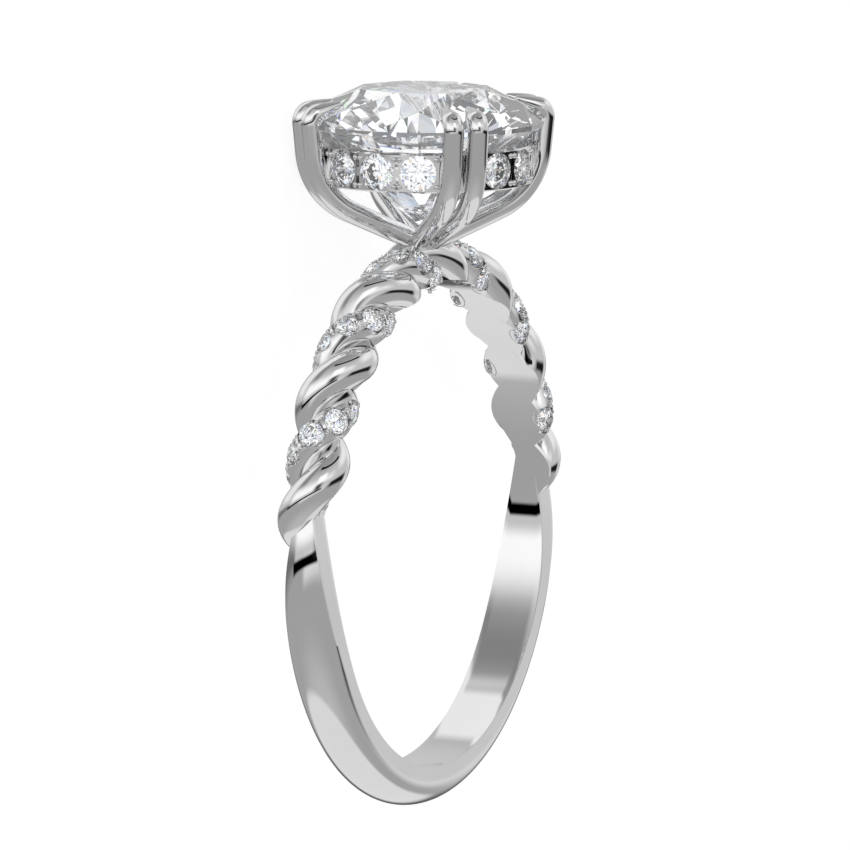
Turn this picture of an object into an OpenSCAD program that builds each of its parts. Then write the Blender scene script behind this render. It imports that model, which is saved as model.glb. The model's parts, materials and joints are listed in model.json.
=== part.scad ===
// Engagement ring with a twisted shank: a plain court band that turns into a two-strand rope over the
// upper half, a basket head with four double claws, and a hidden halo under the centre stone.
// It lies on its side, on the girdle of the centre stone and the edge of the band.
// Inside the modules the ring stands upright: X across the finger, Y along the finger, Z to the stone.

/* [Finger] */
// Inside diameter of the ring
bore_d = 16.9; // [15:0.1:19]

/* [Lower band] */
// Width of the band at the back of the finger
band_w = 1.88; // [1.7:0.02:2.4]
// Thickness of the band at the crown of its domed face
band_t = 1.25; // [1.1:0.05:1.6]
// Height of the flat side faces where the band is at full width
band_side_h = 0.42; // [0.3:0.02:0.6]
// Width of the band where it runs into the twist
neck_w = 0.56; // [0.4:0.02:0.8]
// Length over which the band narrows, measured upright
taper_h = 5.9; // [4.5:0.1:7]
// Angle over the finger's centre at which the twist takes over from the band
twist_start_a = 9; // [7:0.5:11]

/* [Twist] */
// Angle of the ring taken by one full turn of the strands
turn_a = 26; // [24:0.5:29]
// Radius of the twist's centreline over the inside of the ring
twist_rise = 0.47; // [0.42:0.01:0.55]
// Distance of each strand's centre from the centreline, across the finger's length
strand_orbit_y = 0.5; // [0.4:0.01:0.6]
// Distance of each strand's centre from the centreline, outwards
strand_orbit_r = 0.45; // [0.35:0.01:0.55]
// Diameter of the plain polished strand
plain_d = 1.3; // [1.1:0.02:1.5]
// Diameter of the strand that is set with stones
set_d = 1.08; // [1.0:0.02:1.2]
// Diameter of the core that joins the strands
core_d = 0.9; // [0.7:0.02:1]

/* [Strand stones] */
// Girdle diameter of a stone in the set strand
pave_d = 0.86; // [0.7:0.02:0.88]
// Distance between the girdles of neighbouring stones along the strand
pave_gap = 0.1; // [0.1:0.01:0.2]
// Number of stones in each visible run of the set strand
pave_per_run = 5; // [3:1:5]
// Number of runs on each shoulder
pave_runs = 3; // [1:1:3]
// Height of a stone's girdle over the centre of the set strand
pave_seat = 0.36; // [0.3:0.01:0.42]

/* [Centre stone] */
// Girdle diameter of the centre stone
stone_d = 8.23; // [7.4:0.01:8.6]
// Diameter of its table
table_d = 4.63; // [4.2:0.01:5]
// Height of its crown over the girdle
crown_h = 1.15; // [1:0.01:1.4]
// Height of its girdle band
girdle_h = 0.16; // [0.1:0.01:0.25]
// Depth of its pavilion under the girdle
pavilion_h = 3.62; // [3.4:0.01:3.8]
// Clearance between its point and the twist under it
culet_gap = 0.21; // [0.1:0.01:0.6]

/* [Claws] */
// Diameter of a claw wire
claw_d = 0.72; // [0.6:0.02:0.8]
// Distance between the two wires of a double claw
claw_pitch = 0.9; // [0.86:0.02:1.1]
// Distance between the two wires of a double claw where they run into the hub
foot_pitch = 0.5; // [0.4:0.02:0.7]
// Diameter of the hub that joins the eight wires
hub_d = 1.3; // [1:0.05:1.5]
// Depth of the notch that the girdle takes in a wire
claw_bite = 0.2; // [0.15:0.01:0.25]
// Slope of the lower legs over the level
leg_slope = 24; // [18:1:30]
// Height at which the lines of the lower legs meet, over the centreline of the twist
leg_rise = 0.8; // [0.6:0.02:1]
// Radius of the bend between a leg and its upright
leg_bend_r = 2.54; // [2:0.02:2.8]
// Outward lean of the uprights
claw_lean = 6; // [3:0.5:9]
// Radius of the bend that takes a wire over the girdle
knuckle_r = 0.4; // [0.36:0.02:0.5]
// Reach of a claw's tip over the crown, in from the stone's edge
tip_reach = 0.9; // [0.6:0.05:1.1]
// Diameter of a claw's tip at its end
tip_d = 0.26; // [0.2:0.02:0.34]

/* [Hidden halo] */
// Distance from the edge of the centre stone in to the outer face of the gallery rail
rail_inset = 0.315; // [0.28:0.005:0.34]
// Wall of the gallery rail
rail_t = 0.55; // [0.45:0.05:0.7]
// Height of the gallery rail
rail_h = 1.4; // [1.36:0.02:1.8]
// Clearance between the pavilion of the centre stone and the girdles of the halo stones
halo_clear = 0.12; // [0.08:0.01:0.16]
// Girdle diameter of a halo stone
halo_d = 1.28; // [1.1:0.02:1.3]
// Distance between the girdles of neighbouring halo stones
halo_gap = 0.11; // [0.04:0.01:0.16]
// Depth of a halo stone's table behind the face of the rail
halo_set_back = 0.05; // [0:0.01:0.12]

/* [Fits] */
// Clearance round a stone in its seat
stone_gap = 0.03; // [0.02:0.01:0.05]

/* [Hidden] */
HALO_NAMES = ["halo_stone_01", "halo_stone_02", "halo_stone_03", "halo_stone_04", "halo_stone_05",
              "halo_stone_06", "halo_stone_07", "halo_stone_08", "halo_stone_09", "halo_stone_10",
              "halo_stone_11", "halo_stone_12"];

$fn = 96;
eps = 0.01;
bore_r = bore_d / 2;
stone_r = stone_d / 2;

// Court profile: a circle through both upper corners of the sides and the crown of the dome
band_half = band_w / 2;
dome_rise = band_t - band_side_h;
dome_r = (band_half * band_half + dome_rise * dome_rise) / (2 * dome_rise);
// Metal left inside the finger hole before it is bored
bore_stock = 0.2;

// The narrowing sides are arcs that leave the parallel sides without a corner
neck_z = bore_r * sin(twist_start_a);
taper_z = neck_z - taper_h;
taper_in = (band_w - neck_w) / 2;
taper_r = (taper_h * taper_h + taper_in * taper_in) / (2 * taper_in);
// The arcs start a little below the taper, where they stand clear of the parallel sides
taper_lead = 0.4;
taper_clear = taper_r - sqrt(taper_r * taper_r - taper_lead * taper_lead);

// Twist: the strands turn once in turn_a degrees, and the plain one lies outermost under the head
twist_r = bore_r + twist_rise;
turn_rate = 360 / turn_a;
// Turn of a strand, in radians, for each millimetre of the centreline
turn_per_mm = 360 / (turn_a * twist_r);
// Below the twist only the plain strand runs on, and it thins out into the side of the band
tail_len_a = 10;
tail_end_share = 0.35;
stations_per_turn = 15;
rope_end_a = twist_start_a - tail_len_a;
rope_stations = round((180 - 2 * rope_end_a) / turn_a * stations_per_turn);
rope_samples = 24;
// The set strand and the core thin out over this angle where the twist runs into the band
fade_a = 8;
// Share of that thinning that is already done at the start of the twist
fade_start = 0.15;

// Stones of the set strand, spaced along the path that their girdles follow
pave_orbit = strand_orbit_r + pave_seat;
pave_path_per_deg = norm([PI / 180 * (twist_r + pave_orbit), PI / 180 * turn_rate * pave_orbit]);
pave_step_a = (pave_d + pave_gap) / pave_path_per_deg;
pave_crown = 0.15 * pave_d;
pave_girdle = 0.06 * pave_d;
pave_pavilion = 0.4 * pave_d;
pave_table = 0.6 * pave_d;

// Underside of the centre stone's girdle, over the finger's centre
stone_z = twist_r + strand_orbit_r + plain_d / 2 + culet_gap + pavilion_h;

// Halo stones, three in each gap between the double claws
rail_r = stone_r - rail_inset;
halo_crown = 0.14 * halo_d;
halo_girdle = 0.05 * halo_d;
// Radius of the circle that the undersides of their girdles touch
halo_ring_r = rail_r - halo_set_back - halo_crown - halo_girdle;
halo_step_a = 2 * atan((halo_d + halo_gap) / (2 * halo_ring_r));
// The top of a halo stone's girdle stands clear of the pavilion
rail_z = stone_z - halo_d / 2 - pavilion_h * (1 - (halo_ring_r - halo_clear) / stone_r);
halo_pavilion = 0.42 * halo_d;
halo_table = 0.58 * halo_d;
halo_per_gap = 3;

// Claws: each wire runs up a sloping leg, round a bend, up an upright and over the crown
claw_r = claw_d / 2;
leg_z = twist_r + leg_rise;
claw_grip_r = stone_r + claw_r - claw_bite;
upright_a = 90 - claw_lean;
leg_n = [-sin(leg_slope), cos(leg_slope)];
upright_n = [-sin(upright_a), cos(upright_a)];
leg_c = leg_z * leg_n.y + leg_bend_r;
grip_z = stone_z + girdle_h;
upright_c = claw_grip_r * upright_n.x + grip_z * upright_n.y + leg_bend_r;
bend_det = leg_n.x * upright_n.y - leg_n.y * upright_n.x;
bend_c = [(leg_c * upright_n.y - leg_n.y * upright_c) / bend_det,
          (leg_n.x * upright_c - leg_c * upright_n.x) / bend_det];
claw_top = [claw_grip_r, grip_z];
crown_slope = atan(crown_h / (stone_r - table_d / 2));
crown_n = [sin(crown_slope), cos(crown_slope)];
tip_end = [stone_r - tip_reach, grip_z + tip_reach * tan(crown_slope)] + tip_d / 2 * crown_n;
knuckle_c = claw_top + knuckle_r * upright_n;
claw_sides = 12;
hub_steps = 4;
leg_steps = 3;
bend_steps = 5;
knuckle_steps = 4;
tip_steps = 3;

// Lying pose: the ring leans on the lower rim of the girdle and the upper corner of the band's side
lie_a = atan((stone_r - band_half) / (stone_z + bore_r + band_side_h));
lie_lift = band_half * cos(lie_a) + (bore_r + band_side_h) * sin(lie_a);
far_end = (stone_z + girdle_h + crown_h) * cos(lie_a) + table_d / 2 * sin(lie_a);
near_end = (bore_r + band_t - dome_r) * cos(lie_a) + dome_r;
lie_shift = (near_end - far_end) / 2;

module lie_down() {
    translate([0, lie_shift, lie_lift]) rotate([lie_a - 90, 0, 0]) children();
}

// Turns a shape drawn in the XY plane into the plane of the ring, at ring angle 0 on +X
module on_ring_plane() {
    rotate([90, 0, 0]) children();
}

// Lower band, narrowed at both shoulders by arcs
module court_profile() {
    translate([bore_r + band_t - dome_r, 0]) intersection() {
        circle(r = dome_r);
        translate([dome_r - band_t - bore_stock, -band_half]) square([band_t + bore_stock, band_w]);
    }
    translate([bore_r - bore_stock, -band_half]) square([band_side_h + bore_stock, band_w]);
}

module narrowing_sides() {
    reach = bore_r + 2 * band_t;
    start_z = taper_z - taper_lead;
    translate([-reach, -band_w, -reach]) cube([2 * reach, 2 * band_w, reach + start_z]);
    intersection() {
        taper_cylinder(1, reach);
        taper_cylinder(-1, reach);
        translate([-reach, -band_w, start_z - eps]) cube([2 * reach, 2 * band_w, taper_h + reach]);
    }
}

// Round whose surface is one narrowing side of the band
module taper_cylinder(side, reach) {
    translate([-reach, side * (taper_r - band_half - taper_clear), taper_z - taper_lead])
        rotate([0, 90, 0]) cylinder(r = taper_r, h = 2 * reach, $fn = 360);
}

module lower_band() {
    intersection() {
        on_ring_plane() rotate([0, 0, 180 - twist_start_a])
            rotate_extrude(angle = 180 + 2 * twist_start_a) court_profile();
        narrowing_sides();
    }
}

// Turn of the plain strand at ring angle a: 0 is outermost, 90 is furthest along +Y
function turn_of(a) = (a - 90) * turn_rate;

// Place of a strand's centre in the section at one turn: outwards from the centreline, then along Y
function strand_c(turn) = [strand_orbit_r * cos(turn), strand_orbit_y * sin(turn)];

// Slope of a strand's path there, for each millimetre along the centreline
function strand_m(turn) = turn_per_mm * [-strand_orbit_r * sin(turn), strand_orbit_y * cos(turn)];

// Product of a and b in the measure that turns a round strand into its slanted section
function slant(a, b, m) = a * b - (a * m) * (b * m) / (1 + m * m);

// Distance to the far side of a strand's section at c, in direction d
function reach_of(d, c, m, r) =
    let (qa = slant(d, d, m), qb = slant(d, c, m), qc = slant(c, c, m) - r * r, root = qb * qb - qa * qc)
    root > 0 ? (qb + sqrt(root)) / qa : 0;

// Angle of the ring from the nearer start of the twist, taken the same way from both ends
function from_start(a) = min(a, 180 - a) - twist_start_a;

// Smooth step from 0 to 1
function ease(t) = let (s = min(1, max(0, t))) s * s * (3 - 2 * s);

// Size of the set strand and the core, from full in the twist to nothing below its start
function set_share(a) = ease(fade_start + from_start(a) / fade_a);

// Size of the plain strand, which thins out along its tail
function plain_share(a) =
    let (t = max(0, -from_start(a) / tail_len_a))
    1 - (1 - tail_end_share) * t * t;

// Outline of the twist at ring angle a: both strands and their core, kept just inside the finger hole.
// Along a tail the outline is drawn about the centre of the plain strand.
function rope_section(a) =
    let (turn = turn_of(a), f = set_share(a), r = plain_d / 2 * plain_share(a),
         c = strand_c(turn), m = strand_m(turn), mid = ease(-from_start(a) / tail_len_a * 1.5) * c)
    [for (i = [0 : rope_samples - 1])
        let (dir = turn + i * 360 / rope_samples, d = [cos(dir), sin(dir)],
             out = max(core_d / 2 * f, reach_of(d, c - mid, m, r),
                       reach_of(d, -c * f - mid, m * f, set_d / 2 * f)),
             hole = d.x < 0 ? (twist_rise + bore_stock + mid.x) / -d.x : out)
        mid + min(out, hole) * d];

// Point of the ring at angle a, from its place in the section
function on_ring(a, p) = let (r = twist_r + p.x) [r * cos(a), p.y, r * sin(a)];

// Closed skin over a row of sections that have the same number of points
module skin(rows) {
    n = len(rows[0]);
    last = len(rows) - 1;
    sides = [for (i = [0 : last - 1]) for (j = [0 : n - 1]) for (half = [0, 1])
        let (k = (j + 1) % n)
        half == 0 ? [i * n + j, (i + 1) * n + j, i * n + k]
                  : [i * n + k, (i + 1) * n + j, (i + 1) * n + k]];
    start = [for (j = [0 : n - 1]) j];
    end = [for (j = [n - 1 : -1 : 0]) last * n + j];
    polyhedron([for (row = rows) for (p = row) p], concat(sides, [start, end]));
}

module rope() {
    skin([for (i = [0 : rope_stations])
        let (a = rope_end_a + i * (180 - 2 * rope_end_a) / rope_stations)
        [for (p = rope_section(a)) on_ring(a, p)]]);
}

// Place of a wire beside the middle of its pair: the two spread as they leave the hub
function beside(x) = (foot_pitch + (claw_pitch - foot_pitch) * ease(x / (0.8 * stone_r))) / 2;

// Ring of points round a claw's path at p, which climbs at the given slope
function wire_ring(p, slope, r) =
    [for (i = [0 : claw_sides - 1])
        let (v = (i + 0.5) * 360 / claw_sides)
        [p.x - r * cos(v) * sin(slope), beside(p.x) - r * sin(v), p.y + r * cos(v) * cos(slope)]];

// Point at the given slope on a bend round c
function bend_p(c, r, slope) = c - r * [-sin(slope), cos(slope)];

// One wire of a claw: a sloping leg, a bend, an upright, and a tip laid over the girdle onto the crown
module claw_wire() {
    over_a = 180 - crown_slope;
    over_p = bend_p(knuckle_c, knuckle_r, over_a);
    leg_end = bend_p(bend_c, leg_bend_r, leg_slope);
    leg = [for (i = [0 : leg_steps - 1])
        let (x = leg_end.x * i / leg_steps)
        wire_ring([x, leg_z + x * tan(leg_slope)], leg_slope, claw_r)];
    bend = [for (i = [0 : bend_steps])
        let (slope = leg_slope + (upright_a - leg_slope) * i / bend_steps)
        wire_ring(bend_p(bend_c, leg_bend_r, slope), slope, claw_r)];
    knuckle = [for (i = [0 : knuckle_steps])
        let (slope = upright_a + (over_a - upright_a) * i / knuckle_steps)
        wire_ring(bend_p(knuckle_c, knuckle_r, slope), slope, claw_r)];
    tip = [for (i = [1 : tip_steps])
        let (t = i / tip_steps)
        wire_ring(over_p + t * (tip_end - over_p), over_a, claw_r + (tip_d / 2 - claw_r) * pow(t, 1.4))];
    cap = [wire_ring(tip_end + tip_d / 3 * [-cos(crown_slope), sin(crown_slope)], over_a, tip_d / 4)];
    skin(concat(leg, bend, knuckle, tip, cap));
}

module double_claws() {
    for (a = [45 : 90 : 315]) rotate([0, 0, a]) {
        claw_wire();
        mirror([0, 1, 0]) claw_wire();
    }
}

// Knob of solder that the eight wires run into, flat under the point of the stone
module hub() {
    low = -60;
    high = 45;
    skin([for (i = [0 : hub_steps])
        let (v = low + i * (high - low) / hub_steps)
        [for (j = [0 : claw_sides - 1])
            let (u = j * 360 / claw_sides)
            [hub_d / 2 * cos(v) * cos(u), hub_d / 2 * cos(v) * sin(u), leg_z + hub_d / 2 * sin(v)]]]);
}

module gallery_rail() {
    translate([0, 0, rail_z - rail_h / 2]) difference() {
        cylinder(r = rail_r, h = rail_h, $fn = 180);
        translate([0, 0, -eps]) cylinder(r = rail_r - rail_t, h = rail_h + 2 * eps, $fn = 180);
    }
}

// Round seat for a stone that faces +Z with its girdle's underside at the origin
module seat(d, pavilion, open_h, low_share) {
    r = d / 2 + stone_gap;
    cylinder(r = r, h = open_h, $fn = 48);
    translate([0, 0, -pavilion]) cylinder(r1 = r * low_share, r2 = r, h = pavilion, $fn = 48);
}

// Room for the centre stone: its own facets, let out by the clearance
module centre_room() {
    g = stone_gap;
    room = 1 + g / stone_r;
    translate([0, 0, stone_z - g])
        brilliant(stone_d * room, table_d + 2 * g, crown_h, girdle_h + 2 * g, pavilion_h * room);
}

// Puts a stone at ring angle a on the set strand, facing away from the centre of the twist
module on_set_strand(a) {
    turn = turn_of(a) + 180;
    c = strand_c(turn);
    rotate([0, -a, 0]) translate([twist_r + c.x, c.y, 0]) rotate([0, 90, 0]) rotate([-turn, 0, 0])
        translate([0, 0, pave_seat]) children();
}

// Ring angles of the stones on one shoulder: side 1 starts from the top towards -X
function pave_angles(side) = [for (run = [0 : pave_runs - 1]) for (i = [0 : pave_per_run - 1])
    90 + side * ((run + 0.5) * turn_a + (i - (pave_per_run - 1) / 2) * pave_step_a)];

// Puts halo stone number i on the rail, facing out
module on_rail(i) {
    gap = floor(i / halo_per_gap);
    a = gap * 90 + (i % halo_per_gap - (halo_per_gap - 1) / 2) * halo_step_a;
    rotate([0, 0, a]) translate([halo_ring_r, 0, rail_z])
        rotate([0, 90, 0]) children();
}

// Full round brilliant with its girdle's underside at the origin
module brilliant(d, table, crown, girdle, pavilion) {
    r = d / 2;
    rt = table / 2;
    bezel_slope = crown / (r - rt);
    star_r = (rt + 0.45 * (r - rt)) / cos(22.5);
    star_z = girdle + crown - (star_r * cos(22.5) - rt) * bezel_slope;
    low_r = 0.24 * r;
    low_z = -pavilion * (1 - low_r * cos(22.5) / r);
    points = concat(
        [for (i = [0 : 7]) [rt * cos(45 * i), rt * sin(45 * i), girdle + crown]],
        [for (i = [0 : 7]) [star_r * cos(45 * i + 22.5), star_r * sin(45 * i + 22.5), star_z]],
        [for (i = [0 : 15]) [r * cos(22.5 * i), r * sin(22.5 * i), girdle]],
        [for (i = [0 : 15]) [r * cos(22.5 * i), r * sin(22.5 * i), 0]],
        [for (i = [0 : 7]) [low_r * cos(45 * i + 22.5), low_r * sin(45 * i + 22.5), low_z]],
        [[0, 0, -pavilion]]);
    faces = concat(
        [[for (i = [7 : -1 : 0]) i]],
        [for (i = [0 : 7]) [i, (i + 1) % 8, 8 + i]],
        [for (i = [0 : 7]) [i, 8 + i, 16 + 2 * i]],
        [for (i = [0 : 7]) [(i + 1) % 8, 16 + (2 * i + 2) % 16, 8 + i]],
        [for (i = [0 : 7]) [8 + i, 16 + 2 * i + 1, 16 + 2 * i]],
        [for (i = [0 : 7]) [8 + i, 16 + (2 * i + 2) % 16, 16 + 2 * i + 1]],
        [for (i = [0 : 15]) [16 + i, 16 + (i + 1) % 16, 32 + (i + 1) % 16, 32 + i]],
        [for (i = [0 : 7]) [32 + 2 * i, 32 + 2 * i + 1, 48 + i]],
        [for (i = [0 : 7]) [32 + 2 * i + 1, 32 + (2 * i + 2) % 16, 48 + i]],
        [for (i = [0 : 7]) [32 + 2 * i, 48 + i, 56]],
        [for (i = [0 : 7]) [48 + i, 32 + (2 * i + 2) % 16, 56]]);
    polyhedron(points, faces);
}

// Twist with a seat for each stone of the set strand
module set_twist() {
    difference() {
        rope();
        for (side = [-1, 1]) for (a = pave_angles(side))
            on_set_strand(a) seat(pave_d, pave_pavilion, set_d, 0.2);
    }
}

// Gallery rail with a seat for each halo stone
module halo_rail() {
    difference() {
        gallery_rail();
        for (i = [0 : len(HALO_NAMES) - 1]) on_rail(i) seat(halo_d, halo_pavilion, rail_t, 0.35);
    }
}

// Basket head: the claws and the rail, notched and beveled to take the centre stone
module basket_head() {
    difference() {
        union() {
            double_claws();
            hub();
            halo_rail();
        }
        centre_room();
    }
}

module ring_setting() {
    color("gainsboro") lie_down() difference() {
        union() {
            lower_band();
            set_twist();
            basket_head();
        }
        on_ring_plane() cylinder(r = bore_r, h = 4 * band_w, center = true, $fn = 180);
    }
}

module centre_stone() {
    color("white") lie_down() translate([0, 0, stone_z])
        brilliant(stone_d, table_d, crown_h, girdle_h, pavilion_h);
}

module halo_stone(i) {
    color("white") lie_down() on_rail(i)
        brilliant(halo_d, halo_table, halo_crown, halo_girdle, halo_pavilion);
}

module pave_field(side) {
    color("white") lie_down() for (a = pave_angles(side)) on_set_strand(a)
        brilliant(pave_d, pave_table, pave_crown, pave_girdle, pave_pavilion);
}

ring_setting();
centre_stone();
for (i = [0 : len(HALO_NAMES) - 1]) halo_stone(i);
pave_field(1);  // pave_left
pave_field(-1);  // pave_right
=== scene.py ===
import json
import math

import bmesh
import bpy
from mathutils import Matrix, Vector


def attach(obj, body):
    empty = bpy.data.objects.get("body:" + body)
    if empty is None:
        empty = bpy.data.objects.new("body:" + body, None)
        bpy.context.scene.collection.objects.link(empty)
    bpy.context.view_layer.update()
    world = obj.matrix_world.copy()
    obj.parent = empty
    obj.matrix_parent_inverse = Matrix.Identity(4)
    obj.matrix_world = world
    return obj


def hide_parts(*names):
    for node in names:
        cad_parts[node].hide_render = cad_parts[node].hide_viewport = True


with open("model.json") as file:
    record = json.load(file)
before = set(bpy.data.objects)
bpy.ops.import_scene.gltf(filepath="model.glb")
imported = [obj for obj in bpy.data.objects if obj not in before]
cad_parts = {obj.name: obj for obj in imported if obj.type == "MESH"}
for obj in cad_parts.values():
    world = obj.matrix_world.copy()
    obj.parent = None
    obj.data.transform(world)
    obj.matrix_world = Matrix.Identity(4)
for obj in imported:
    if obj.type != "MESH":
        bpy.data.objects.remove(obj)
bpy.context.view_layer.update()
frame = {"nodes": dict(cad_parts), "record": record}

# The ring is modelled standing up, in millimetres about the middle of its finger hole: X across the
# hole, Y along the finger, Z towards the centre stone. It is kept lying on its side, so each mesh is
# turned over the finger hole's real axis and shrunk to metres once it is made.
finger_hole = next(m for m in frame["record"]["mounts"] if m["name"] == "finger_bore")
finger_up = Vector(finger_hole["axis"]).normalized()
stone_way = finger_up.cross(Vector((1, 0, 0)))
ring_axes = Matrix((Vector((1, 0, 0)), -finger_up, stone_way)).transposed()
LAY_DOWN = Matrix.Translation(finger_hole["pos_m"]) @ ring_axes.to_4x4() @ Matrix.Scale(0.001, 4)

# Camera: a long lens a few centimetres over the floor, turned so that the stone is at the top of the
# picture, as the photograph shows the ring. The angles are those of the standing ring.
camera_turn = math.radians(25.3)
camera_lift = math.radians(8.09)
camera_roll = math.radians(0.31)
camera_distance = 404.5
picture_px = 850
lens_px = 11650
hole_px = Vector((421.65, 521.65))

to_camera = Vector((-math.cos(camera_turn) * math.cos(camera_lift),
                    -math.sin(camera_turn) * math.cos(camera_lift), math.sin(camera_lift)))
level = Vector((0, 0, 1)).cross(to_camera).normalized()
upward = to_camera.cross(level)
right = level * math.cos(camera_roll) + upward * math.sin(camera_roll)
top = upward * math.cos(camera_roll) - level * math.sin(camera_roll)
look = (right * (picture_px / 2 - hole_px.x) / lens_px + top * (hole_px.y - picture_px / 2) / lens_px
        - to_camera).normalized()
right = (right - look * right.dot(look)).normalized()
camera_axes = Matrix((right, right.cross(look), -look)).transposed()

camera = bpy.data.objects.new("camera", bpy.data.cameras.new("camera"))
camera.data.angle = 2 * math.atan(picture_px / 2 / lens_px)
camera.matrix_world = (Matrix.Translation(LAY_DOWN @ (to_camera * camera_distance))
                       @ (ring_axes @ camera_axes).to_4x4())
bpy.context.collection.objects.link(camera)
bpy.context.scene.camera = camera

# Room: a pale matt floor. It is lit from below like a photographer's light table, which keeps the ring's
# shadow faint. Metal and stones don't mirror it.
floor_half = 0.6
bm = bmesh.new()
bmesh.ops.create_grid(bm, x_segments=1, y_segments=1, size=floor_half)
floor_mesh = bpy.data.meshes.new("floor")
bm.to_mesh(floor_mesh)
bm.free()
floor = bpy.data.objects.new("floor", floor_mesh)
bpy.context.collection.objects.link(floor)
floor_paint = bpy.data.materials.new("pale_floor")
floor_paint.use_nodes = True
floor_shader = floor_paint.node_tree.nodes["Principled BSDF"]
floor_shader.inputs["Base Color"].default_value = (0.86, 0.86, 0.86, 1)
floor_shader.inputs["Roughness"].default_value = 0.9
floor_shader.inputs["Specular IOR Level"].default_value = 0.1
floor_shader.inputs["Emission Color"].default_value = (1, 1, 1, 1)
floor_shader.inputs["Emission Strength"].default_value = 0.72
floor_mesh.materials.append(floor_paint)
floor.visible_glossy = False
floor.visible_transmission = False

# Studio: a broad soft light over the floor keeps it pale. Polished metal and stones don't mirror that light:
# they show the studio's own walls, which are grey, with soft boxes, dark gaps between them and a pale
# table edge.
floor_light = bpy.data.lights.new("floor_light", "AREA")
floor_light.shape = "DISK"
floor_light.size = 0.5
floor_light.energy = 0.115
lamp = bpy.data.objects.new("floor_light", floor_light)
lamp.location = (-0.10, 0.12, 0.5)
lamp.rotation_euler = Vector(-lamp.location).to_track_quat("-Z", "Y").to_euler()
lamp.visible_glossy = False
lamp.visible_transmission = False
bpy.context.collection.objects.link(lamp)

world = bpy.data.worlds.new("studio")
world.use_nodes = True
world_nodes, world_links = world.node_tree.nodes, world.node_tree.links
camera_right, camera_top, camera_back = (Vector(column)
                                         for column in camera.matrix_world.to_3x3().transposed())
direction = world_nodes.new("ShaderNodeTexCoord").outputs["Generated"]


def world_math(operation, *inputs, clamp=False):
    """One sum of the studio's light, over numbers and other sums."""
    node = world_nodes.new("ShaderNodeMath")
    node.operation = operation
    node.use_clamp = clamp
    for socket, value in zip(node.inputs, inputs):
        if isinstance(value, (int, float)):
            socket.default_value = value
        else:
            world_links.new(value, socket)
    return node.outputs[0]


def along(axis):
    """How far the light's direction points along a fixed axis."""
    node = world_nodes.new("ShaderNodeVectorMath")
    node.operation = "DOT_PRODUCT"
    node.inputs[1].default_value = axis
    world_links.new(direction, node.inputs[0])
    return node.outputs["Value"]


def step(value, start, end):
    """A smooth step from 0 at start to 1 at end."""
    node = world_nodes.new("ShaderNodeMapRange")
    node.interpolation_type = "SMOOTHSTEP"
    world_links.new(value, node.inputs["Value"])
    node.inputs["From Min"].default_value = start
    node.inputs["From Max"].default_value = end
    return node.outputs["Result"]


degree = 180 / math.pi
turn = world_math("MULTIPLY", world_math("ARCTAN2", along(camera_right), along(camera_back)), degree)
height = world_math("MULTIPLY", world_math("ARCSINE", along(camera_top)), degree)


def panel(left, right, low, high, soft, lean=0):
    """A soft box or a dark gap between two turns and two heights, in degrees from the camera's side.

    Its edges are soft, and a lean raises its right side.
    """
    level = world_math("SUBTRACT", height, world_math("MULTIPLY", turn, lean))
    sides = world_math("MULTIPLY", step(turn, left - soft, left + soft),
                       step(turn, right + soft, right - soft))
    ends = world_math("MULTIPLY", step(level, low - soft / 2, low + soft / 2),
                      step(level, high + soft / 2, high - soft / 2))
    return world_math("MULTIPLY", sides, ends)


def lit(light, mask, level):
    """The light with a panel's mask brought to a level."""
    change = world_math("MULTIPLY", mask, world_math("SUBTRACT", level, light))
    return world_math("ADD", light, change)


# Walls and table: grey, darker at the ceiling, pale on the table behind the ring.
light = world_math("MULTIPLY_ADD", step(height, 30, 80), -0.24, 0.52)
light = lit(light, step(height, -2, -8), 0.34)
light = lit(light, step(height, -30, -75), 0.46)
table_dip = math.radians(62)
table_way = camera_back * -math.cos(table_dip) - camera_top * math.sin(table_dip)
light = lit(light, step(along(table_way), math.cos(math.radians(45)), math.cos(math.radians(39))), 0.67)
# Soft boxes and reflectors.
light = lit(light, panel(-140, -92, 12, 68, 10), 0.78)
light = lit(light, panel(-230, -112, 50, 76, 8), 0.80)
light = lit(light, panel(150, 230, 50, 66, 10), 0.40)
light = lit(light, panel(-82, -50, 28, 74, 14), 0.22)
light = lit(light, world_math("MULTIPLY", panel(-76, 4, -40, 90, 12),
                              world_math("MULTIPLY", step(height, 0, 9), step(height, 42, 14))), 0.95)
light = lit(light, panel(26, 62, 12, 30, 12), 0.75)
light = lit(light, panel(2, 34, 17, 40, 8), 1.0)
light = lit(light, panel(86, 142, 24, 46, 16), 0.80)
light = lit(light, panel(132, 160, 4, 26, 12), 0.78)
light = lit(light, panel(-36, 44, -14, -1, 10, 0.05), 0.64)
light = lit(light, panel(120, 165, -16, -4, 12), 0.62)
# Dark gaps.
light = lit(light, panel(-150, -78, -6, 3, 8), 0.15)
light = lit(light, panel(56, 120, -14, 0, 8), 0.01)
light = lit(light, panel(-84, 30, -7.6, -2.4, 2), 0.0)
light = lit(light, panel(4, 24, -3, 14, 10), 0.04)
light = lit(light, panel(-24, 96, 61, 68, 4, -0.12), 0.0)
light = lit(light, panel(160, 200, -24, 4, 12), 0.10)
light = lit(light, panel(-200, -160, -24, 4, 12), 0.10)
light = world_math("MULTIPLY", light, 1.2)

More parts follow.
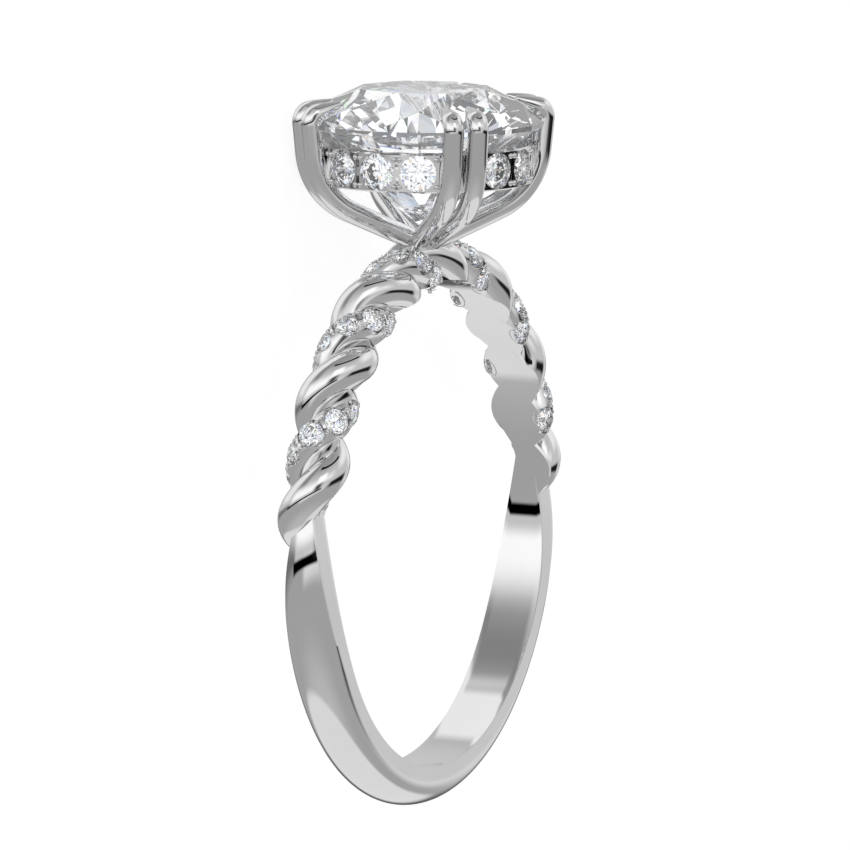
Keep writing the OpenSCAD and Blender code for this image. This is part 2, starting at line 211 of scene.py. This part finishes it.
# Stones are lit by a sparkling wall of their own: white with grey and black gaps and a little colour.
sparkle = world_nodes.new("ShaderNodeTexVoronoi")
sparkle.inputs["Scale"].default_value = 5
world_links.new(direction, sparkle.inputs["Vector"])
pick = world_nodes.new("ShaderNodeSeparateColor")
world_links.new(sparkle.outputs["Color"], pick.inputs["Color"])
wall = world_nodes.new("ShaderNodeValToRGB")
wall.color_ramp.interpolation = "CONSTANT"
wall.color_ramp.elements[0].color = (1.25, 1.25, 1.27, 1)
wall.color_ramp.elements[1].position = 0.44
wall.color_ramp.elements[1].color = (0.64, 0.68, 0.72, 1)
for position, colour in ((0.655, (0.01, 0.012, 0.03, 1)), (0.765, (1.3, 1.3, 1.3, 1)),
                         (0.94, (0.36, 0.46, 0.9, 1)), (0.96, (1.1, 0.85, 0.65, 1)),
                         (0.98, (0.8, 1.05, 0.8, 1))):
    wall.color_ramp.elements.new(position).color = colour
world_links.new(pick.outputs["Red"], wall.inputs["Fac"])

# What each kind of light ray meets: the camera sees a pale wall, and the floor is lit from all sides.
ray = world_nodes.new("ShaderNodeLightPath")
light = lit(light, ray.outputs["Is Diffuse Ray"], 0.30)
light = lit(light, ray.outputs["Is Camera Ray"], 0.95)
meets = world_nodes.new("ShaderNodeMix")
meets.data_type = "RGBA"
world_links.new(ray.outputs["Is Transmission Ray"], meets.inputs["Factor"])
world_links.new(light, meets.inputs["A"])
world_links.new(wall.outputs["Color"], meets.inputs["B"])
world_links.new(meets.outputs["Result"], world_nodes["Background"].inputs["Color"])
world_nodes["Background"].inputs["Strength"].default_value = 1
bpy.context.scene.world = world
bpy.context.scene.view_settings.view_transform = "Standard"


# Metal: polished white gold, nearly a mirror, with the faint swirls that a buffing wheel leaves. The
# band and twist, the claws and the rail each have their own grain and haze of them.
def hand_polish():
    """A node group that puts out roughness and a normal for buffed metal."""
    group = bpy.data.node_groups.new("hand_polish", "ShaderNodeTree")
    group.interface.new_socket("Grain", in_out="INPUT", socket_type="NodeSocketFloat")
    group.interface.new_socket("Haze", in_out="INPUT", socket_type="NodeSocketFloat")
    group.interface.new_socket("Colour", in_out="OUTPUT", socket_type="NodeSocketColor")
    group.interface.new_socket("Roughness", in_out="OUTPUT", socket_type="NodeSocketFloat")
    group.interface.new_socket("Normal", in_out="OUTPUT", socket_type="NodeSocketVector")
    nodes, links = group.nodes, group.links
    entry = nodes.new("NodeGroupInput")
    result = nodes.new("NodeGroupOutput")
    place = nodes.new("ShaderNodeTexCoord")
    swirl = nodes.new("ShaderNodeTexNoise")
    swirl.inputs["Detail"].default_value = 4
    links.new(place.outputs["Object"], swirl.inputs["Vector"])
    links.new(entry.outputs["Grain"], swirl.inputs["Scale"])
    haze = nodes.new("ShaderNodeMath")
    haze.operation = "MULTIPLY"
    links.new(swirl.outputs["Fac"], haze.inputs[0])
    links.new(entry.outputs["Haze"], haze.inputs[1])
    links.new(haze.outputs[0], result.inputs["Roughness"])
    tone = nodes.new("ShaderNodeValToRGB")
    tone.color_ramp.elements[0].color = (0.80, 0.80, 0.805, 1)
    tone.color_ramp.elements[1].color = (0.86, 0.86, 0.86, 1)
    links.new(swirl.outputs["Fac"], tone.inputs["Fac"])
    links.new(tone.outputs["Color"], result.inputs["Colour"])
    bump = nodes.new("ShaderNodeBump")
    bump.inputs["Strength"].default_value = 0.04
    bump.inputs["Distance"].default_value = 0.00002
    links.new(swirl.outputs["Fac"], bump.inputs["Height"])
    links.new(bump.outputs["Normal"], result.inputs["Normal"])
    return group


POLISH = hand_polish()


def white_gold(name, grain, haze):
    """Polished white gold whose swirls have a grain, in waves per metre, and a haze."""
    metal = bpy.data.materials.new(name)
    metal.use_nodes = True
    nodes, links = metal.node_tree.nodes, metal.node_tree.links
    shader = nodes["Principled BSDF"]
    shader.inputs["Metallic"].default_value = 1
    polish = nodes.new("ShaderNodeGroup")
    polish.node_tree = POLISH
    polish.inputs["Grain"].default_value = grain
    polish.inputs["Haze"].default_value = haze
    links.new(polish.outputs["Colour"], shader.inputs["Base Color"])
    links.new(polish.outputs["Roughness"], shader.inputs["Roughness"])
    links.new(polish.outputs["Normal"], shader.inputs["Normal"])
    return metal


def finish_piece(name, bm, metal, crease=35):
    """Lays a standing shape down, shades it smooth up to its creases and makes it part of the ring."""
    bmesh.ops.transform(bm, matrix=LAY_DOWN, verts=bm.verts)
    mesh = bpy.data.meshes.new(name)
    bm.to_mesh(mesh)
    bm.free()
    mesh.shade_smooth()
    mesh.set_sharp_from_angle(angle=math.radians(crease))
    mesh.materials.append(metal)
    piece = bpy.data.objects.new(name, mesh)
    bpy.context.collection.objects.link(piece)
    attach(piece, "root")
    return piece


# The back of the shank is a court band: flat inside, flat at the sides and domed outside. It is drawn
# wire, bent round and filed narrower and thinner towards both shoulders, so the sides cut into the dome.
hole_r = 8.45
band_half = 0.94
band_side_h = 0.42
band_t = 1.41
neck_half = 0.28
thin_from, thin_by = -4.3, 0.40
neck_angle = math.radians(9)
taper_h = 5.9
dome_rise = band_t - band_side_h
dome_r = (band_half ** 2 + dome_rise ** 2) / (2 * dome_rise)
dome_c = hole_r + band_t - dome_r
neck_z = hole_r * math.sin(neck_angle)
taper_z = neck_z - taper_h
taper_r = (taper_h ** 2 + (band_half - neck_half) ** 2) / (2 * (band_half - neck_half))
edge_r = 0.045


def half_width(z):
    """Half of the band's width at a height over the middle of the finger hole."""
    climb = max(0, z - taper_z)
    return band_half - taper_r + math.sqrt(max(0, taper_r ** 2 - climb ** 2))


def dome(y, z=-9):
    """Distance of the band's domed face from the middle of the finger hole, at a height over it."""
    climb = max(0, z - thin_from) / (neck_z - thin_from)
    return dome_c + math.sqrt(dome_r ** 2 - y ** 2) - thin_by * climb ** 2


inner_steps, side_steps, dome_steps, sweep_steps = 8, 5, 28, 240
outline = [(hole_r, band_half * (2 * i / inner_steps - 1)) for i in range(inner_steps)]
outline += [(hole_r + band_side_h * i / side_steps, band_half) for i in range(side_steps)]
outline += [(0, band_half * math.cos(math.pi * i / dome_steps)) for i in range(dome_steps)]
outline += [(hole_r + band_side_h * (1 - i / side_steps), -band_half) for i in range(side_steps)]
bm = bmesh.new()
ring = [bm.verts.new((r if r else dome(y), y, 0)) for r, y in outline]
start = [bm.edges.new((a, b)) for a, b in zip(ring, ring[1:] + ring[:1])]
bmesh.ops.rotate(bm, verts=ring, cent=(0, 0, 0), matrix=Matrix.Rotation(-neck_angle, 3, "Y"))
bmesh.ops.spin(bm, geom=ring + start, axis=(0, 1, 0), cent=(0, 0, 0),
               angle=math.pi + 2 * neck_angle, steps=sweep_steps)
bmesh.ops.holes_fill(bm, edges=[e for e in bm.edges if e.is_boundary], sides=0)
for v in bm.verts:
    r, a, y = math.hypot(v.co.x, v.co.z), math.atan2(v.co.z, v.co.x), v.co.y
    half = half_width(r * math.sin(a))
    if abs(y) > band_half - 1e-4 and r < hole_r + band_side_h + 1e-4:
        share = (r - hole_r) / band_side_h
        for _ in range(3):
            r = hole_r + share * (dome(half, r * math.sin(a)) - hole_r)
            half = half_width(r * math.sin(a))
        y = math.copysign(half, y)
    elif r > hole_r + 1e-4:
        y *= half / band_half
        r = dome(y, r * math.sin(a))
    else:
        y *= half / band_half
    v.co = Vector((r * math.cos(a), y, r * math.sin(a)))
bmesh.ops.recalc_face_normals(bm, faces=bm.faces)
corners = [e for e in bm.edges if len(e.link_faces) == 2 and e.calc_face_angle() > math.radians(20)]
bmesh.ops.bevel(bm, geom=corners, offset=edge_r, offset_type="OFFSET", segments=3, profile=0.5,
                affect="EDGES", material=-1, clamp_overlap=True)
plain_gold = white_gold("polished_white_gold", 700, 0.04)
band = finish_piece("court_band", bm, plain_gold, crease=50)
band.modifiers.new("even_shading", "WEIGHTED_NORMAL").keep_sharp = True


# The twist is two strands wound round each other. The plain one is drawn wire, polished, whose ends
# run on past the twist and are filed into the sides of the band.
twist_r = hole_r + 0.47
turn_angle = math.radians(26)
orbit_out, orbit_along = 0.45, 0.5
strand_r = 0.65
tail_angle = math.radians(10)
tail_share = 0.35
bore_sides = 480


def turn_of(a, is_set=False):
    """Turn of a strand at an angle of the ring: the plain one lies outermost under the centre stone."""
    turn = (a - math.pi / 2) * 2 * math.pi / turn_angle
    return turn + math.pi if is_set else turn


def strand_point(a, is_set=False, share=1):
    """Middle of the plain or the set strand at an angle of the ring."""
    r = twist_r + share * orbit_out * math.cos(turn_of(a, is_set))
    return Vector((r * math.cos(a), share * orbit_along * math.sin(turn_of(a, is_set)), r * math.sin(a)))


def to_bmesh(thing):
    """A bmesh of what an object shows, modifiers and all. The object is used up."""
    bpy.context.collection.objects.link(thing)
    bpy.context.view_layer.update()
    mesh = bpy.data.meshes.new_from_object(thing.evaluated_get(bpy.context.evaluated_depsgraph_get()))
    bpy.data.objects.remove(thing)
    bm = bmesh.new()
    bm.from_mesh(mesh)
    bpy.data.meshes.remove(mesh)
    return bm


def wire(path, round_steps):
    """A round wire through points with their own radii, closed at both ends."""
    curve = bpy.data.curves.new("wire", "CURVE")
    curve.dimensions = "3D"
    curve.bevel_depth = 1
    curve.bevel_resolution = round_steps
    curve.use_fill_caps = True
    line = curve.splines.new("POLY")
    line.points.add(len(path) - 1)
    for point, (place, radius) in zip(line.points, path):
        point.co = (*place, 1)
        point.radius = radius
    bm = to_bmesh(bpy.data.objects.new("wire", curve))
    bmesh.ops.remove_doubles(bm, verts=bm.verts, dist=1e-5)
    bmesh.ops.recalc_face_normals(bm, faces=bm.faces)
    return bm


def as_object(bm, name):
    """A plain object of a bmesh, which is used up."""
    mesh = bpy.data.meshes.new(name)
    bm.to_mesh(mesh)
    bm.free()
    return bpy.data.objects.new(name, mesh)


def carve(bm, cutter, overlapping=False, operation="DIFFERENCE"):
    """What is left of one shape when another is cut out of it. Both are used up."""
    tool = as_object(cutter, "cutter")
    bpy.context.collection.objects.link(tool)
    work = as_object(bm, "work")
    cut = work.modifiers.new("cut", "BOOLEAN")
    cut.object = tool
    cut.solver = "EXACT"
    cut.use_self = overlapping
    cut.operation = operation
    left = to_bmesh(work)
    bpy.data.objects.remove(tool)
    return left


def add_copies(bm, pattern, places):
    """Adds copies of a pattern to a shape, one at each place. The pattern is used up."""
    mesh = bpy.data.meshes.new("pattern")
    pattern.to_mesh(mesh)
    pattern.free()
    for place in places:
        one = mesh.copy()
        one.transform(place)
        bm.from_mesh(one)
        bpy.data.meshes.remove(one)
    bpy.data.meshes.remove(mesh)


def turned(line, steps):
    """A closed outline of radii and heights, turned all the way round Z."""
    bm = bmesh.new()
    points = [bm.verts.new((x, 0, z)) for x, z in line]
    edges = [bm.edges.new(pair) for pair in zip(points, points[1:] + points[:1])]
    bmesh.ops.spin(bm, geom=points + edges, axis=(0, 0, 1), cent=(0, 0, 0), angle=2 * math.pi, steps=steps,
                   use_merge=True)
    bmesh.ops.remove_doubles(bm, verts=bm.verts, dist=1e-5)
    bmesh.ops.dissolve_degenerate(bm, edges=bm.edges, dist=1e-6)
    bmesh.ops.recalc_face_normals(bm, faces=bm.faces)
    return bm


def finger_bore():
    """A cylinder of the finger hole's size, a hair wider so that the strands lie behind the smooth plate."""
    bm = bmesh.new()
    wide = hole_r + 0.006
    bmesh.ops.create_cone(bm, cap_ends=True, segments=bore_sides, radius1=wide, radius2=wide, depth=4)
    bmesh.ops.rotate(bm, verts=bm.verts, matrix=Matrix.Rotation(math.pi / 2, 3, "X"))
    return bm


def tail_radius(a):
    """Radius of the plain strand, which thins out below the start of the twist."""
    below = max(0, neck_angle - min(a, math.pi - a)) / tail_angle
    return strand_r * (1 - (1 - tail_share) * below ** 2)


strand_steps = 620
ends = neck_angle - tail_angle
angles = [ends + (math.pi - 2 * ends) * i / strand_steps for i in range(strand_steps + 1)]
bm = wire([(strand_point(a), tail_radius(a)) for a in angles], round_steps=14)
bm = carve(bm, finger_bore())
plain_strand = finish_piece("plain_strand", bm, plain_gold, crease=40)

# The second strand is a wire set with very small brilliants in cut-down seats. Each stone stands
# in a scalloped cup, and four raised grains between neighbours hold them.
set_r = 0.54
fade_angle = math.radians(8)
stone_r = 0.43
seat_lift = 0.36
seat_r = 0.5
rim_r = 0.016
grain_r = 0.08
stones_in_run, runs = 5, 3
path_out = orbit_out + seat_lift
stone_step = 0.96 / math.hypot(twist_r + path_out, path_out * 2 * math.pi / turn_angle)


def ease(t):
    """A smooth step from 0 to 1."""
    t = min(1, max(0, t))
    return t * t * (3 - 2 * t)


def set_share(a):
    """Size of the set strand, which thins out where the twist runs into the band."""
    return ease(0.15 + (min(a, math.pi - a) - neck_angle) / fade_angle)


def on_set_strand(a, lift=0.0):
    """Place on the set strand at an angle of the ring, with Z out of the twist and X along the strand."""
    turn = turn_of(a, True)
    out = Vector((math.cos(a) * math.cos(turn), math.sin(turn), math.sin(a) * math.cos(turn)))
    along = (strand_point(a + 0.002, True) - strand_point(a - 0.002, True)).normalized()
    along = (along - out * along.dot(out)).normalized()
    axes = Matrix((along, out.cross(along), out)).transposed()
    return Matrix.Translation(strand_point(a, True) + out * lift) @ axes.to_4x4()


stone_angles = [[math.pi / 2 + side * ((run + 0.5) * turn_angle + (i - (stones_in_run - 1) / 2) * stone_step)
                 for i in range(stones_in_run)] for side in (-1, 1) for run in range(runs)]
start_a = neck_angle - math.radians(0.5)
angles = [start_a + (math.pi - 2 * start_a) * i / strand_steps for i in range(strand_steps + 1)]
thinnest = 0.02
bm = wire([(strand_point(a, True, set_share(a)), max(thinnest, set_r * set_share(a))) for a in angles],
          round_steps=12)
seat_line = [(0, -0.12), (0.10, -0.12), (0.40, 0.13), (seat_r, 0.21), (seat_r, 0.92), (0, 0.92)]
seats = bmesh.new()
add_copies(seats, turned(seat_line, 40), [on_set_strand(a) for run in stone_angles for a in run])
bm = carve(bm, seats, overlapping=True)
bm = carve(bm, finger_bore())
set_strand = finish_piece("set_strand", bm, plain_gold, crease=40)

# Seat rims: each seat's edge is cut bright, and a thin raised line follows it on both flanks of the strand.
# They are part of the same metal.
bm = bmesh.new()
rim_steps = 20
flank = [math.radians(90 + 52 * (2 * i / rim_steps - 1)) for i in range(rim_steps + 1)]
edge_path = [(Vector((seat_r * math.cos(v), seat_r * math.sin(v),
                      math.sqrt(set_r ** 2 - (seat_r * math.sin(v)) ** 2))), rim_r) for v in flank]
both = [Matrix.Identity(4), Matrix.Rotation(math.pi, 4, "Z")]
seat_places = [on_set_strand(a) for run in stone_angles for a in run]
add_copies(bm, wire(edge_path, round_steps=2), [place @ side for place in seat_places for side in both])
rims = finish_piece("seat_rims", bm, plain_gold, crease=60)

# Grains: beads of metal raised from the strand with a graver and pushed over the stones' girdles, four
# between neighbours and four at each end of a run.
grain_lift, grain_apart, grain_aside = 0.43, 0.085, 0.27
bm = bmesh.new()
for run in stone_angles:
    spots = [(a + b) / 2 for a, b in zip(run, run[1:])]
    spots += [run[0] - stone_step / 2, run[-1] + stone_step / 2]
    for a in spots:
        for side in (-1, 1):
            for lean in (-1, 1):
                aside = Matrix.Translation((lean * grain_apart, side * grain_aside, 0))
                place = on_set_strand(a, grain_lift) @ aside
                bmesh.ops.create_icosphere(bm, subdivisions=2, radius=grain_r, matrix=place)
grains = finish_piece("setting_grains", bm, plain_gold, crease=80)

# Inside, the twist is one smooth plate with a waved outline, which both strands are soldered to and which
# lies against the finger.
plate_top, plate_lap = 0.40, 0.34
plate_start = math.radians(4)
plate_steps = 600
bm = bmesh.new()
plate_r = hole_r + 0.003
square = [(plate_r, -1), (plate_r, 1), (plate_r + plate_top, 1), (plate_r + plate_top, -1)]
ring = [bm.verts.new((r, y, 0)) for r, y in square]
start = [bm.edges.new(pair) for pair in zip(ring, ring[1:] + ring[:1])]
bmesh.ops.rotate(bm, verts=ring, cent=(0, 0, 0), matrix=Matrix.Rotation(-plate_start, 3, "Y"))
bmesh.ops.spin(bm, geom=ring + start, axis=(0, 1, 0), cent=(0, 0, 0), angle=2 * plate_start - math.pi,
               steps=plate_steps)
bmesh.ops.holes_fill(bm, edges=[e for e in bm.edges if e.is_boundary], sides=0)
for v in bm.verts:
    a = math.atan2(v.co.z, v.co.x)
    plain_y, set_y = strand_point(a).y, strand_point(a, True).y
    full = set_share(a)
    if v.co.y > 0:
        v.co.y = max(neck_half, plain_y + 0.5) * (1 - full) + (max(plain_y, set_y) + plate_lap) * full
    else:
        v.co.y = min(-neck_half, plain_y - 0.5) * (1 - full) + (min(plain_y, set_y) - plate_lap) * full
bmesh.ops.recalc_face_normals(bm, faces=bm.faces)
rooms = bmesh.new()
stone_room = turned([(0, -0.36), (stone_r + 0.01, -0.01), (stone_r + 0.01, 0.5), (0, 0.5)], 40)
add_copies(rooms, stone_room, [place @ Matrix.Translation((0, 0, seat_lift)) for place in seat_places])
bm = carve(bm, rooms)
plate = finish_piece("inner_plate", bm, plain_gold, crease=40)

# A core wire fills the hollow between the two strands. It is drawn gold of a smaller gauge, and it thins
# out with the set strand where the twist runs into the band.
core_r = 0.44
bm = wire([(Vector((twist_r * math.cos(a), 0, twist_r * math.sin(a))),
            max(thinnest, core_r * set_share(a))) for a in angles], round_steps=10)
core = finish_piece("core_wire", bm, plain_gold, crease=40)

# The basket head is eight round wires in four pairs. They spring from the top of the twist, bend up round
# the gallery rail and end in claws that are filed to a point over the girdle of the centre stone.
girdle_r = 4.115
table_r = 2.315
girdle_z = 13.85
girdle_h = 0.16
crown_h = 1.15
pavilion_h = 3.62
claw_r = 0.36
claw_bite = 0.2
pair_half, foot_half = 0.45, 0.25
hub_r = 0.65
leg_slope = math.radians(24)
leg_z = 9.72
bend_r = 2.54
upright_slope = math.radians(84)
knuckle_r = 0.4
tip_reach = 0.9
tip_r = 0.13
crown_slope = math.atan(crown_h / (girdle_r - table_r))


def normal(slope):
    """Direction to the inner side of a wire that climbs at a slope, in the plane of its leg."""
    return Vector((-math.sin(slope), math.cos(slope)))


def bend_middle(leg, upright, through):
    """Centre of the bend that touches the leg's line and the upright's line from their inner sides."""
    a, b = normal(leg), normal(upright)
    c = leg_z * a.y + bend_r
    d = through.dot(b) + bend_r
    spread = a.x * b.y - a.y * b.x
    return Vector(((c * b.y - a.y * d) / spread, (a.x * d - c * b.x) / spread))


claw_top = Vector((girdle_r + claw_r - claw_bite, girdle_z + girdle_h))
bend_c = bend_middle(leg_slope, upright_slope, claw_top)
knuckle_c = claw_top + knuckle_r * normal(upright_slope)
over_slope = math.pi - crown_slope
over_end = knuckle_c - knuckle_r * normal(over_slope)
crown_out = Vector((math.sin(crown_slope), math.cos(crown_slope)))
tip_end = (Vector((girdle_r - tip_reach, girdle_z + girdle_h + tip_reach * math.tan(crown_slope)))
           + tip_r * crown_out)
leg_end = bend_c - bend_r * normal(leg_slope)
path = [(Vector((0, leg_z)).lerp(leg_end, i / 16), claw_r) for i in range(16)]
for i in range(33):
    slope = leg_slope + (upright_slope - leg_slope) * i / 32
    path.append((bend_c - bend_r * normal(slope), claw_r))
for i in range(25):
    slope = upright_slope + (over_slope - upright_slope) * i / 24
    path.append((knuckle_c - knuckle_r * normal(slope), claw_r))
for i in range(1, 17):
    t = i / 16
    path.append((over_end.lerp(tip_end, t), claw_r + (tip_r - claw_r) * t ** 1.4))
tip_way = (tip_end - over_end).normalized()
for i in range(1, 7):
    t = math.sin(i / 6 * math.pi / 2)
    path.append((tip_end + tip_way * tip_r * t, tip_r * math.sqrt(max(0.002, 1 - t * t))))


def centre_room(gap):
    """The centre stone's own outline, let out by a gap, as a turned shape."""
    crown_z = girdle_z + girdle_h + crown_h + gap
    return turned([(0, girdle_z - pavilion_h - 2 * gap), (girdle_r + gap, girdle_z - gap),
                   (girdle_r + gap, girdle_z + girdle_h + gap), (table_r + gap, crown_z), (0, crown_z)], 128)


def beside(x):
    """Distance of a wire from the middle of its pair: the two spread as they leave the hub."""
    return foot_half + (pair_half - foot_half) * ease(x / (0.8 * girdle_r))


claw_gold = white_gold("claw_white_gold", 900, 0.05)
one_claw = wire([(Vector((p.x, beside(p.x), p.y)), r) for p, r in path], round_steps=12)
one_claw = carve(one_claw, centre_room(0.01))
head = bmesh.new()
corners = [Matrix.Rotation(math.pi / 4 + i * math.pi / 2, 4, "Z") for i in range(4)]
mirrored = one_claw.copy()
bmesh.ops.scale(mirrored, verts=mirrored.verts, vec=(1, -1, 1))
bmesh.ops.reverse_faces(mirrored, faces=mirrored.faces)
add_copies(head, one_claw, corners)
add_copies(head, mirrored, corners)
flat_hub = Matrix.Translation((0, 0, leg_z)) @ Matrix.Diagonal((1, 1, 0.8, 1))
bmesh.ops.create_uvsphere(head, u_segments=48, v_segments=24, radius=hub_r, matrix=flat_hub)
claws = finish_piece("double_claws", head, claw_gold, crease=40)

# The gallery rail is a flat ring of strip, pierced for twelve brilliants that face outwards, with small
# windows between their seats.
rail_r, rail_t, rail_h = girdle_r - 0.315, 0.55, 1.36
halo_r, halo_gap, halo_clear, halo_back = 0.64, 0.11, 0.12, 0.293
halo_ring_r = rail_r - halo_back
halo_step = 2 * math.atan((2 * halo_r + halo_gap) / (2 * halo_ring_r))
rail_z = girdle_z - halo_r - pavilion_h * (1 - (halo_ring_r - halo_clear) / girdle_r)
halo_angles = [gap * math.pi / 2 + i * halo_step for gap in range(4) for i in (-1, 0, 1)]
low, high, lip = rail_z - rail_h / 2, rail_z + rail_h / 2, 0.05
bm = turned([(rail_r - rail_t, low), (rail_r - lip, low), (rail_r, low + lip), (rail_r, high - lip),
             (rail_r - lip, high), (rail_r - rail_t, high)], 192)
grip_r = halo_r - 0.01
seat = turned([(0, 0.5), (grip_r, 0.5), (grip_r, -0.02), (halo_r * 0.35, -0.55), (0, -0.55)], 48)
cutter = bmesh.new()
add_copies(cutter, seat, [Matrix.Rotation(a, 4, "Z") @ Matrix.Translation((halo_ring_r, 0, rail_z))
                          @ Matrix.Rotation(math.pi / 2, 4, "Y") for a in halo_angles])
bm = carve(bm, cutter, overlapping=True)
cutter = bmesh.new()
slot = bmesh.new()
bmesh.ops.create_cube(slot, size=1, matrix=Matrix.Diagonal((1.4, 0.13, 0.42, 1)))
add_copies(cutter, slot, [Matrix.Rotation(gap * math.pi / 2 + i * halo_step / 2, 4, "Z")
                          @ Matrix.Translation((rail_r, 0, rail_z + up * 0.36))
                          for gap in range(4) for i in (-1, 1) for up in (-1, 1)])
bm = carve(bm, cutter)
rail_gold = white_gold("rail_white_gold", 1200, 0.12)
rail = finish_piece("gallery_rail", bm, rail_gold, crease=35)

# Small claws between the halo stones hold them, a pair over and a pair under each gap. They are cut from the
# rail's own metal and rounded with a cup burr.
halo_claw_r, halo_claw_in, halo_claw_aside, halo_claw_up = 0.105, 0.02, 0.10, 0.47
bm = bmesh.new()
claw_places = sorted({round(a + side * halo_step / 2, 4) for a in halo_angles for side in (-1, 1)})
for a in claw_places:
    for up in (-1, 1):
        for lean in (-1, 1):
            middle = (rail_r - halo_claw_in, lean * halo_claw_aside, rail_z + up * halo_claw_up)
            place = Matrix.Rotation(a, 4, "Z") @ Matrix.Translation(middle)
            bmesh.ops.create_icosphere(bm, subdivisions=2, radius=halo_claw_r, matrix=place)
halo_claws = finish_piece("halo_claws", bm, claw_gold, crease=80)
for piece in (band, plain_strand, set_strand, rims, grains, plate, core, claws, rail, halo_claws):
    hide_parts("ring_setting")


# Diamonds: the centre stone, the halo and the stones of the strand are round brilliants with flat facets.
# They are clear, and their fire is painted light: coloured glints painted on as faint tints that change over
# the facets.
def painted_fire():
    """A node group that puts out a painted colour: mostly white, with small patches of four faint tints that
    are painted fire glints.
    """
    group = bpy.data.node_groups.new("painted_fire", "ShaderNodeTree")
    group.interface.new_socket("Grain", in_out="INPUT", socket_type="NodeSocketFloat")
    group.interface.new_socket("Colour", in_out="OUTPUT", socket_type="NodeSocketColor")
    nodes, links = group.nodes, group.links
    entry = nodes.new("NodeGroupInput")
    result = nodes.new("NodeGroupOutput")
    place = nodes.new("ShaderNodeTexCoord")
    cells = nodes.new("ShaderNodeTexVoronoi")
    links.new(place.outputs["Object"], cells.inputs["Vector"])
    links.new(entry.outputs["Grain"], cells.inputs["Scale"])
    pick = nodes.new("ShaderNodeSeparateColor")
    links.new(cells.outputs["Color"], pick.inputs["Color"])
    painted_tints = nodes.new("ShaderNodeValToRGB")
    ramp = painted_tints.color_ramp
    ramp.interpolation = "CONSTANT"
    # Painted fire: white, with patches of faint blue, warm, green and violet painted glints.
    ramp.elements[0].color = (1, 1, 1, 1)
    ramp.elements[1].position = 0.84
    ramp.elements[1].color = (0.80, 0.88, 1, 1)
    for position, colour in ((0.92, (1, 0.92, 0.84, 1)), (0.95, (0.86, 1, 0.92, 1)),
                             (0.97, (0.88, 0.84, 1, 1))):
        ramp.elements.new(position).color = colour
    links.new(pick.outputs["Red"], painted_tints.inputs["Fac"])
    links.new(painted_tints.outputs["Color"], result.inputs["Colour"])
    return group


PAINTED_FIRE = painted_fire()


def diamond(name, grain, painted_glow):
    """Clear diamond with patches of painted fire, coloured glints painted into its colour, whose grain is in
    cells per metre.

    Its faint glow is painted light: it stands for the light that comes back after more bounces inside the
    stone than are followed.
    """
    stone = bpy.data.materials.new(name)
    stone.use_nodes = True
    nodes, links = stone.node_tree.nodes, stone.node_tree.links
    shader = nodes["Principled BSDF"]
    shader.inputs["Transmission Weight"].default_value = 1
    shader.inputs["Roughness"].default_value = 0
    shader.inputs["IOR"].default_value = 2.42
    painted_fire_colours = nodes.new("ShaderNodeGroup")
    painted_fire_colours.node_tree = PAINTED_FIRE
    painted_fire_colours.inputs["Grain"].default_value = grain
    # The painted fire tints go into the base colour and into the emission colour, where they make a painted
    # glow.
    links.new(painted_fire_colours.outputs["Colour"], shader.inputs["Base Color"])
    links.new(painted_fire_colours.outputs["Colour"], shader.inputs["Emission Color"])
    shader.inputs["Emission Strength"].default_value = painted_glow
    return stone


def polish_stone(node, material):
    """Gives a stone of the frame its material, with flat facets."""
    stone = frame["nodes"][node]
    stone.data.materials.clear()
    stone.data.materials.append(material)
    stone.data.shade_flat()


centre_diamond = diamond("centre_diamond", 2600, 0.035)
halo_diamond = diamond("halo_diamond", 5000, 0.02)
polish_stone("centre_stone", centre_diamond)
for i in range(12):
    polish_stone(f"halo_stone_{i + 1:02d}", halo_diamond)
for side in ("left", "right"):
    polish_stone("pave_" + side, halo_diamond)
